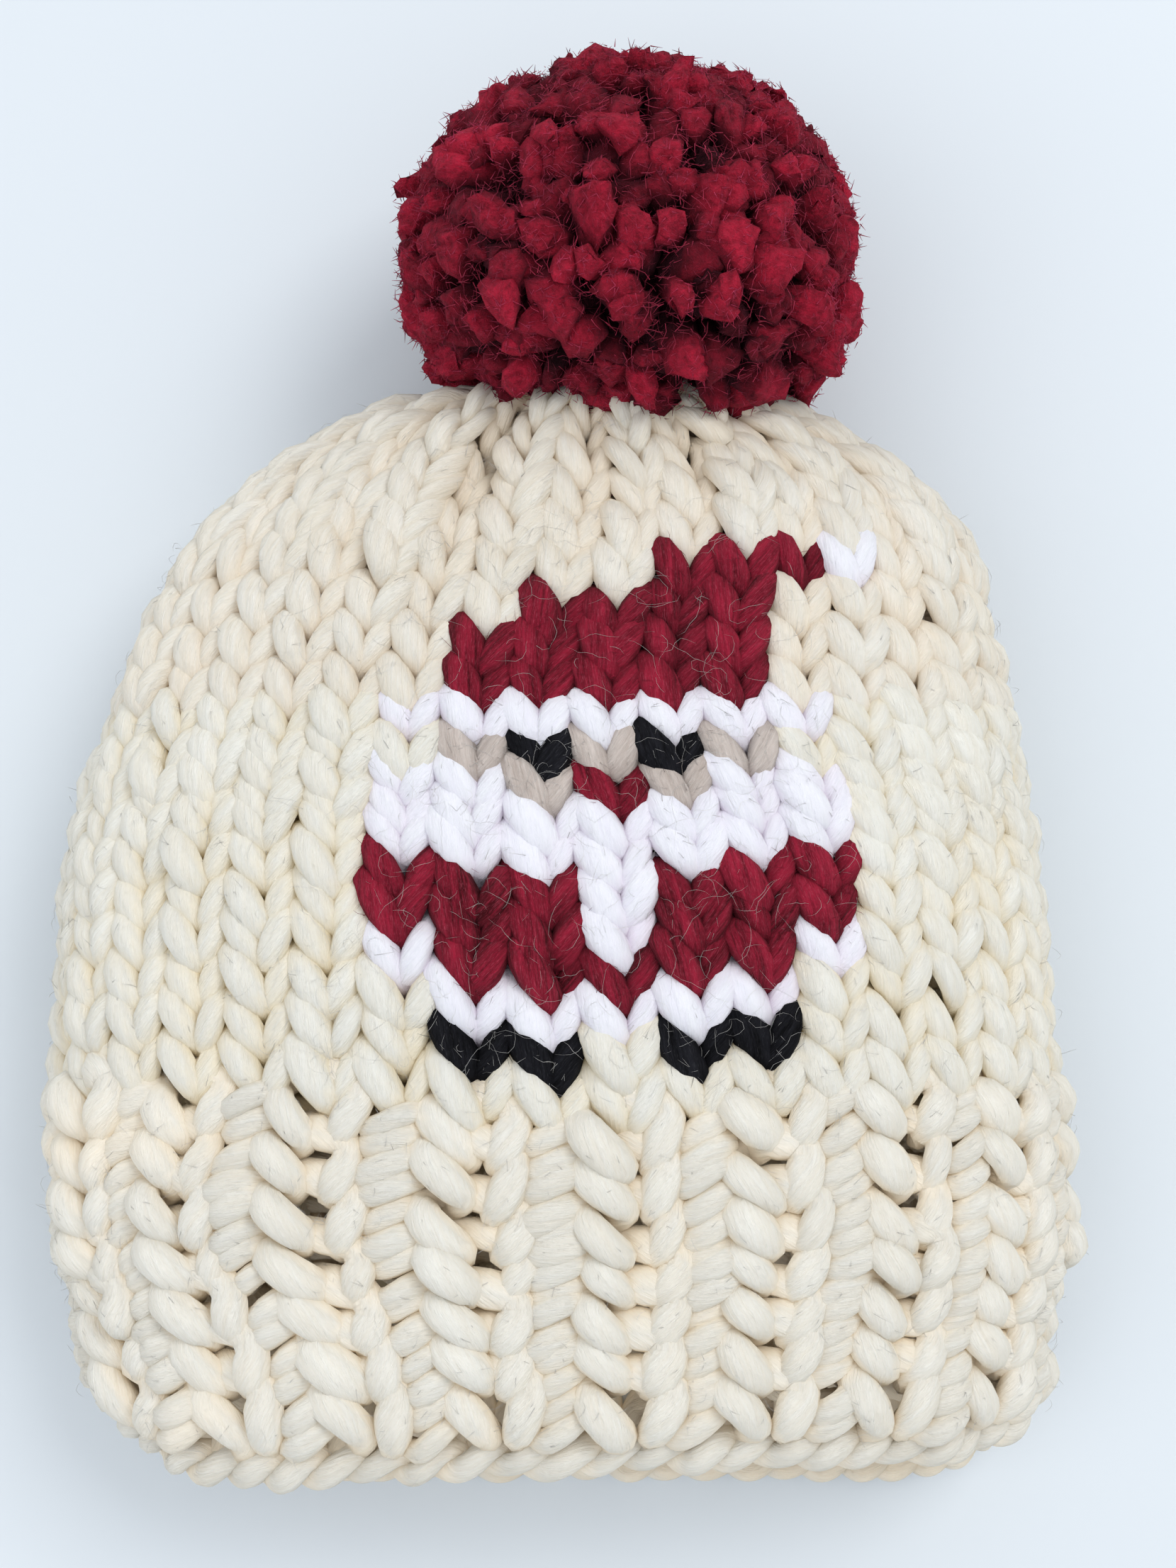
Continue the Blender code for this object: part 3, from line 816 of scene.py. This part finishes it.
def pompom_locks(mesh):
    """Blunt ends of cut yarn: each a round form that widens from its root and closes in a domed, lumpy tip.

    Waves round a lock and along it, and a small random step at each point, make it uneven. Returns points
    on the locks, the way outwards, the tone and the depth there, for the fuzz.
    """
    dome_turn = np.linspace(0.0, math.pi / 2.0, 6)
    level = np.concatenate([[0.0, 0.35, 0.62], 0.76 + 0.24 * np.sin(dome_turn)])
    dome = np.concatenate([[0.62, 0.82, 1.0], np.cos(dome_turn) ** 0.8])
    shape = (LOCKS, len(level), LOCK_SIDES)
    way = lock_ways()
    side, other = lock_frames(way)
    reach = LOCK_REACH + RANDOM.normal(0.0, LOCK_REACH_SPREAD, LOCKS)
    size = RANDOM.uniform(*LOCK_SIZES, LOCKS)
    lean = RANDOM.normal(0.0, LOCK_LEAN, (LOCKS, 2))
    phase = RANDOM.uniform(0.0, 2.0 * math.pi, (LOCKS, 4, 1, 1))
    turn = 2.0 * math.pi * np.arange(LOCK_SIDES) / LOCK_SIDES
    levels = level[None, :, None]
    lumps = 1.0
    for number, (waves, height, twist) in enumerate(LOCK_WAVES):
        lumps = lumps + height * np.sin(waves * turn + phase[:, number] + twist * levels)
    lumps = lumps + RANDOM.normal(0.0, LOCK_UNEVEN, shape)
    wide = LOCK_HALF_WIDTH * size[:, None, None] * dome[None, :, None] * lumps
    whole = pompom_reach(way)
    start = whole * LOCK_ROOT
    length = whole * (reach[:, None] - LOCK_ROOT)
    sideways = (side * lean[:, :1] + other * lean[:, 1:])[:, None, :] * levels**1.5 * LOCK_LENGTH
    spine = POMPOM_CENTRE + start[:, None, :] + length[:, None, :] * levels + sideways
    ripple = TIP_WAVE * np.sin(2.0 * turn + phase[:, 3]) + RANDOM.normal(0.0, TIP_UNEVEN, shape)
    rough_end = way[:, None, None, :] * (ripple * dome[:, None])[..., None]
    points = (spine[:, :, None, :] + rough_end
              + side[:, None, None, :] * (wide * np.cos(turn))[..., None]
              + other[:, None, None, :] * (wide * np.sin(turn))[..., None])
    points[..., 2] = np.maximum(points[..., 2], LOCK_CLEARANCE)
    quads = ring_quads(*shape, closed=False).reshape(-1, 4)
    uv = np.stack([np.broadcast_to(levels * LOCK_LENGTH, shape),
                   np.broadcast_to(turn / (2.0 * math.pi), shape)], axis=-1)
    # painted shade: darker towards each lock's root, lighter at the tips that reach furthest
    deep = np.clip(ROOT_SHADE - TIP_SHADE_LOSS * levels * reach[:, None, None]**6, 0.0, 1.0)
    deep = np.broadcast_to(deep, shape)
    tone = np.broadcast_to(RANDOM.normal(0.0, 1.0, LOCKS)[:, None, None], shape)
    mesh.add(points.reshape(-1, 3), quads, uv.reshape(-1, 2)[quads].reshape(-1, 2),
             shade=tone.reshape(-1), deep=deep.reshape(-1))
    skin = points[:, 2:]
    outward = unit(skin - spine[:, 2:, None, :] + way[:, None, None, :] * 1.2)
    return skin.reshape(-1, 3), outward.reshape(-1, 3), tone[:, 2:].reshape(-1), deep[:, 2:].reshape(-1)


def pompom_fuzz(mesh, skin, outward, tone, deep, count, samples, lengths, radius, stand, curliness):
    """Fine fibres on the locks, from flat on their skin to standing, that curl over a little."""
    chosen = RANDOM.integers(0, len(skin), count)
    root = skin[chosen] + RANDOM.normal(0.0, 0.25, (count, 3))
    spread = RANDOM.normal(0.0, 0.7, (count, 3))
    spread = spread - outward[chosen] * np.sum(spread * outward[chosen], axis=-1, keepdims=True)
    heading = unit(outward[chosen] * stand * RANDOM.uniform(0.0, 1.0, (count, 1)) + spread)
    curl = np.cross(heading, unit(RANDOM.normal(0.0, 1.0, (count, 3))))
    length = RANDOM.uniform(*lengths, count)[:, None, None]
    level = np.linspace(0.0, 1.0, samples)[None, :, None]
    bend = curl[:, None, :] * curliness * level**2
    paths = root[:, None, :] + length * (heading[:, None, :] * level + bend)
    # each fibre takes the painted shade of the lock at its root
    add_hairs(mesh, paths, np.linspace(radius, 0.2 * radius, samples),
              tone[chosen] + RANDOM.normal(0.0, 1.2, count), deep[chosen])


def pompom_fluff(mesh, count, samples, depths, lengths, radius):
    """Loose fibres in the pompom's outer layer: each lies mostly along its surface and curls over.

    Its root is a share of the pompom's reach, and the deeper it lies the more painted shade it gets.
    """
    way = unit(RANDOM.normal(0.0, 1.0, (count, 3)))
    level = RANDOM.uniform(*depths, (count, 1))
    root = POMPOM_CENTRE + pompom_reach(way) * level
    spread = RANDOM.normal(0.0, 0.8, (count, 3))
    heading = unit(spread - way * np.sum(spread * way, axis=-1, keepdims=True) + 0.1 * way)
    curl = np.cross(heading, unit(RANDOM.normal(0.0, 1.0, (count, 3))))
    curl = curl - way * np.maximum(np.sum(curl * way, axis=-1, keepdims=True), 0.0)
    length = RANDOM.uniform(*lengths, count)[:, None, None]
    step = np.linspace(0.0, 1.0, samples)[None, :, None]
    paths = root[:, None, :] + length * (heading[:, None, :] * step + 1.1 * curl[:, None, :] * step**2)
    # painted shade: the deeper a fibre's root, the more crevice colour it takes
    deep = np.clip((depths[1] - level[:, 0]) / (depths[1] - depths[0]), 0.0, 1.0)
    radii = np.linspace(radius, 0.3 * radius, samples)
    add_hairs(mesh, paths, radii, RANDOM.normal(0.0, 1.5, count), deep)


def stray_hairs(mesh, count, samples, stations, rounds, lengths, radius, lift):
    """Loose curly fibres lying over the knitting: a heading that turns steadily and at random along each."""
    station = RANDOM.uniform(*stations, count)
    around = RANDOM.uniform(*rounds, count)
    root = fabric(station, around)
    normal = fabric_normal(station, around)
    side = unit(fabric(station, around + ROUND_STEP) - fabric(station, around - ROUND_STEP))
    other = np.cross(normal, side)
    turning = RANDOM.normal(0.0, 0.35, (count, 1)) + RANDOM.normal(0.0, 0.35, (count, samples))
    heading = RANDOM.uniform(0.0, 2.0 * math.pi, (count, 1)) + np.cumsum(turning, axis=1)
    step = RANDOM.uniform(*lengths, (count, 1)) / samples
    flat = np.cumsum(step[..., None] * np.stack([np.cos(heading), np.sin(heading)], axis=-1), axis=1)
    level = np.linspace(0.0, 1.0, samples)
    height = RANDOM.uniform(5.0, 6.6, (count, 1))
    height = height + RANDOM.uniform(0.0, lift, (count, 1)) * np.sin(math.pi * level)
    paths = (root[:, None, :] + side[:, None, :] * flat[..., :1] + other[:, None, :] * flat[..., 1:]
             + normal[:, None, :] * height[..., None])
    thick = radius * (0.2 + 0.8 * np.sin(math.pi * level))
    add_hairs(mesh, paths, thick, RANDOM.normal(0.0, 1.0, count), np.zeros(count))


def stitch_fuzz(mesh, way, colours, key, count, radius=0.045):
    """Short fibres that stand off the yarn of one colour, half along it and half outwards, and bend back."""
    centre, normal, _, width, depth = way
    samples = centre.shape[1] // colours.shape[1]
    rows, stitches = np.nonzero(colours == key)
    picked = RANDOM.integers(0, len(rows), count)
    row = rows[picked]
    place = stitches[picked] * samples + RANDOM.integers(0, samples, count)
    tangent = along(centre)[0][row, place]
    outward = normal[row, place]
    side = np.cross(tangent, outward)
    turn = RANDOM.uniform(0.0, math.pi, count)
    away = unit(side * np.cos(turn)[:, None] + outward * np.sin(turn)[:, None])
    root = (centre[row, place] + side * (YARN_HALF_WIDTH * width[row, place] * np.cos(turn))[:, None]
            + outward * (YARN_HALF_DEPTH * depth[row, place] * np.sin(turn))[:, None])
    heading = unit(away * RANDOM.uniform(0.2, 0.9, (count, 1)) + tangent * RANDOM.normal(0.0, 0.9, (count, 1))
                   + side * RANDOM.normal(0.0, 0.5, (count, 1)))
    length = RANDOM.uniform(1.2, 3.6, count)[:, None, None]
    level = np.linspace(0.0, 1.0, 3)[None, :, None]
    bend = RANDOM.uniform(0.0, 0.6, (count, 1, 1))
    paths = root[:, None, :] + length * (heading[:, None, :] * level - away[:, None, :] * bend * level**2)
    radii = radius * np.array([1.0, 0.9, 0.3])
    # painted highlight: the fibres are painted lighter than their yarn, for the light they catch
    add_hairs(mesh, paths, radii, RANDOM.normal(1.5, 1.0, count), np.zeros(count))


def add_hairs(mesh, paths, radii, shade, deep):
    """Thin open tubes along given paths."""
    count, samples = paths.shape[:2]
    tangent = unit(np.gradient(paths, axis=1))
    normal = unit(np.cross(tangent, (0.31, 0.52, 0.79)))
    size = np.broadcast_to(radii, (count, samples))
    rings = tube_rings(paths, tangent, normal, size, size, HAIR_SIDES)
    step = np.linalg.norm(np.diff(paths, axis=1), axis=-1)
    length = np.concatenate([np.zeros((count, 1)), np.cumsum(step, axis=1)], axis=1)
    rings[..., 2] = np.maximum(rings[..., 2], HAIR_CLEARANCE)
    mesh.add(rings.reshape(-1, 3), ring_quads(count, samples, HAIR_SIDES, closed=False).reshape(-1, 4),
             tube_uv(length, HAIR_SIDES, closed=False).reshape(-1, 2),
             shade=np.repeat(shade, samples * HAIR_SIDES), deep=np.repeat(deep, samples * HAIR_SIDES))


def pompom_core():
    """The dense middle of the pompom: a sphere drawn to its three sizes, with a lumpy surface.

    Strips of quads close its poles.
    """
    rows, samples = 32, 48
    polar = np.linspace(0.02, math.pi - 0.02, rows)
    turn = 2.0 * math.pi * np.arange(samples) / samples
    polar, turn = np.meshgrid(polar, turn, indexing="ij")
    way = np.stack([np.sin(polar) * np.cos(turn), np.cos(polar), np.sin(polar) * np.sin(turn)], axis=-1)
    lumps = np.sin(9.0 * way[..., 0]) * np.sin(8.0 * way[..., 1] + 1.0) * np.sin(9.0 * way[..., 2])
    points = POMPOM_CENTRE + way * POMPOM_HALF_SIZE * (CORE_SIZE + CORE_LUMPS * lumps)[..., None]
    row, sample = np.meshgrid(np.arange(rows - 1), np.arange(samples), indexing="ij")
    ahead = (sample + 1) % samples
    wall = np.stack([row * samples + sample, row * samples + ahead,
                     (row + 1) * samples + ahead, (row + 1) * samples + sample], axis=-1).reshape(-1, 4)
    strip = np.arange(samples // 2 - 1)
    cap = np.stack([strip, strip + 1, samples - 2 - strip, samples - 1 - strip], axis=-1)
    quads = np.concatenate([wall, cap[:, ::-1], cap + (rows - 1) * samples])
    mesh = Mesh()
    # painted shade: the whole core takes the burgundy's darkest crevice colour
    mesh.add(points.reshape(-1, 3), quads, np.zeros((len(quads) * 4, 2)),
             shade=np.zeros(rows * samples), deep=np.ones(rows * samples))
    return mesh


def light(name, place, energy, size, colour):
    """A square studio lamp that faces the hat."""
    data = bpy.data.lights.new(name, "AREA")
    data.energy = energy
    data.size = size
    data.color = colour
    lamp = placed(name, data)
    lamp.location = place
    lamp.rotation_mode = "QUATERNION"
    lamp.rotation_quaternion = (-lamp.location).to_track_quat("-Z", "Y")


def studio():
    """The floor, the soft light and the camera."""
    half = 3.0
    corners = [(-half, -half, 0), (half, -half, 0), (half, half, 0), (-half, half, 0)]
    mesh = bpy.data.meshes.new("floor")
    mesh.from_pydata(corners, [], [(0, 1, 2, 3)])
    material, shader = plain_material("pale_floor")
    set_inputs(shader, {"Base Color": (0.69, 0.735, 0.78, 1.0), "Roughness": 0.7})
    mesh.materials.append(material)
    ground = placed("floor", mesh)
    light("key", (0.9, 0.7, 1.6), energy=13.5, size=0.9, colour=(1.0, 0.99, 0.97))
    light("fill", (-1.2, -0.5, 1.6), energy=7.0, size=1.5, colour=(0.96, 0.98, 1.0))
    world = bpy.data.worlds.new("soft_light")
    world.use_nodes = True
    set_inputs(world.node_tree.nodes["Background"], {"Color": (0.92, 0.96, 1.0, 1.0), "Strength": 0.86})
    bpy.context.scene.world = world
    bpy.context.scene.view_settings.view_transform = "Standard"

    data = bpy.data.cameras.new("camera")
    camera = placed("camera", data)
    bpy.context.scene.camera = camera
    target = np.array((0.0054, -0.002, 0.035))
    elevation = math.radians(83.0)
    distance = 0.40
    back = np.array((0.0, -math.cos(elevation), math.sin(elevation)))
    camera.location = target + back * distance
    camera.rotation_euler = (math.pi / 2.0 - elevation, 0.0, 0.0)
    seen_width = 0.288
    data.sensor_width = 36.0
    data.lens = data.sensor_width * distance / seen_width
    data.clip_start = 0.01
    data.clip_end = 20.0


def main():
    """Sets the studio, mixes the wools, knits the hat and makes the pompom."""
    studio()
    pale = {"sheen_tint": (1.0, 0.95, 0.80), "relief": 0.0013}
    cream = wool("cream_wool", (0.93, 0.91, 0.84), (0.89, 0.84, 0.73), (0.96, 0.95, 0.92),
                 (0.92, 0.77, 0.50), sheen=0.6, painted_glow=(0.055, 0.04, 0.016), **pale)
    rib_cream = wool("rib_cream_wool", (0.93, 0.90, 0.825), (0.89, 0.83, 0.72), (0.96, 0.945, 0.91),
                     (0.93, 0.79, 0.60), sheen=0.6, painted_glow=(0.11, 0.086, 0.056), **pale)
    # painted shade: the crown's cream is a darker, warmer copy of the body's, for the shade near the gather
    shaded_cream = wool("shaded_cream_wool", (0.93, 0.89, 0.81), (0.88, 0.80, 0.67), (0.96, 0.94, 0.90),
                        (0.82, 0.70, 0.55), sheen=0.5, painted_glow=(0.07, 0.052, 0.035), **pale)
    white = wool("white_wool", (0.93, 0.93, 0.98), (0.89, 0.875, 0.96), (0.97, 0.97, 1.00),
                 (0.95, 0.80, 0.93), sheen=0.35, relief=0.0009)
    red = wool("red_wool", (0.43, 0.016, 0.048), (0.07, 0.001, 0.005), (0.68, 0.13, 0.19), (0.002, 0.0, 0.0),
               fleck_share=0.5, sheen=0.05, sheen_tint=(0.9, 0.3, 0.35), grain=0.6)
    black = wool("black_wool", (0.017, 0.017, 0.022), (0.0015, 0.0015, 0.002), (0.085, 0.085, 0.095),
                 (0.0, 0.0, 0.0), fleck_share=0.35, sheen=0.0, gloss=0.08)
    beige = wool("beige_wool", (0.77, 0.67, 0.61), (0.50, 0.41, 0.36), (0.90, 0.85, 0.80), (0.20, 0.15, 0.12),
                 fleck_share=0.6)
    burgundy = wool("burgundy_wool", (0.52, 0.013, 0.043), (0.10, 0.001, 0.006), (0.80, 0.11, 0.20),
                    (0.006, 0.0, 0.001), crevice_shade_share=1.0, sheen=0.12, sheen_tint=(1.0, 0.15, 0.28),
                    uneven=0.05, strands=0.15, grain=2.4, grain_scale=500.0)
    # painted light: the felt and haze fibres are painted much lighter and pinker than the locks' burgundy,
    # for the light that thin fibres let through and catch
    fuzz_wool = wool("burgundy_fuzz", (0.97, 0.07, 0.19), (0.36, 0.006, 0.026), (0.97, 0.32, 0.48),
                     (0.03, 0.0, 0.002), fleck_share=0.5, sheen=0.2, sheen_tint=(1.0, 0.25, 0.40),
                     uneven=0.10)
    haze = wool("burgundy_haze", (0.95, 0.06, 0.155), (0.50, 0.01, 0.04), (0.97, 0.34, 0.50),
                (0.05, 0.0, 0.004), fleck_share=0.5, sheen=0.3, sheen_tint=(1.0, 0.30, 0.45), uneven=0.10)
    loose = wool("loose_fibres", (0.96, 0.94, 0.90), (0.88, 0.85, 0.80), (0.98, 0.97, 0.95),
                 (0.85, 0.80, 0.74))

    meshes = {key: Mesh() for key in (".", "R", "W", "K", "B")}
    body = np.arange(-1, 10)
    body_way = knitted_rows(body)
    body_colours = chart_colours(body)
    lay_yarn(meshes, *body_way, body_colours)
    crown_meshes = dict(meshes)
    crown_meshes["."] = Mesh()
    crown = np.arange(10, 21)
    crown_way = knitted_rows(crown)
    crown_colours = chart_colours(crown)
    lay_yarn(crown_meshes, *crown_way, crown_colours)
    rib = Mesh()
    rib_way = rib_rows()
    rib_colours = np.full((RIB_ROWS, STITCHES // 2), ".")
    lay_yarn({".": rib}, *rib_way, rib_colours)
    edge_cord(rib)
    for key, count in (("R", 1400), ("K", 500), ("B", 300)):
        stitch_fuzz(meshes[key], body_way, body_colours, key, count)
    stitch_fuzz(meshes["R"], crown_way, crown_colours, "R", 800)
    hairs = Mesh()
    for key, count, radius in (("W", 500, 0.045), ("K", 250, 0.028), ("R", 400, 0.022), (".", 3400, 0.045)):
        stitch_fuzz(hairs, body_way, body_colours, key, count, radius)
    stitch_fuzz(hairs, crown_way, crown_colours, ".", 2400)
    stitch_fuzz(hairs, rib_way, rib_colours, ".", 2800)

    meshes["."].build("body_knitting", cream, "cream_wool", "knit_hat")
    crown_meshes["."].build("crown_knitting", shaded_cream, "cream_wool", "knit_hat")
    rib.build("rib_knitting", rib_cream, "cream_wool", "knit_hat")
    figure = (("R", "red_stitches", red), ("W", "white_stitches", white), ("K", "black_stitches", black),
              ("B", "beige_stitches", beige))
    for key, name, yarn in figure:
        meshes[key].build(name, yarn, "cream_wool")

    pompom_core().build("pompom_core", burgundy, "burgundy_wool", "pompom")
    locks = Mesh()
    on_locks = pompom_locks(locks)
    locks.build("pompom_locks", burgundy, "burgundy_wool", "pompom")
    felt = Mesh()
    pompom_fuzz(felt, *on_locks, count=18000, samples=2, lengths=(0.9, 2.2), radius=0.12,
                stand=0.5, curliness=0.4)
    felt.build("pompom_felt", fuzz_wool, "burgundy_wool")
    fuzz = Mesh()
    pompom_fluff(fuzz, count=13500, samples=3, depths=(0.83, 0.985), lengths=(1.4, 3.4), radius=0.085)
    fuzz.build("pompom_fuzz", haze, "burgundy_wool")

    stray_hairs(hairs, count=400, samples=8, stations=(0.0, 13.5), rounds=(0.13, 0.37),
                lengths=(5.0, 14.0), radius=0.028, lift=1.8)
    stray_hairs(hairs, count=900, samples=5, stations=(-8.0, 16.0), rounds=(0.0, 1.0),
                lengths=(2.5, 7.0), radius=0.035, lift=1.4)
    hairs.build("stray_hairs", loose, "cream_wool")
    bpy.data.objects["pompom_tie"].data.materials[0] = burgundy


main()
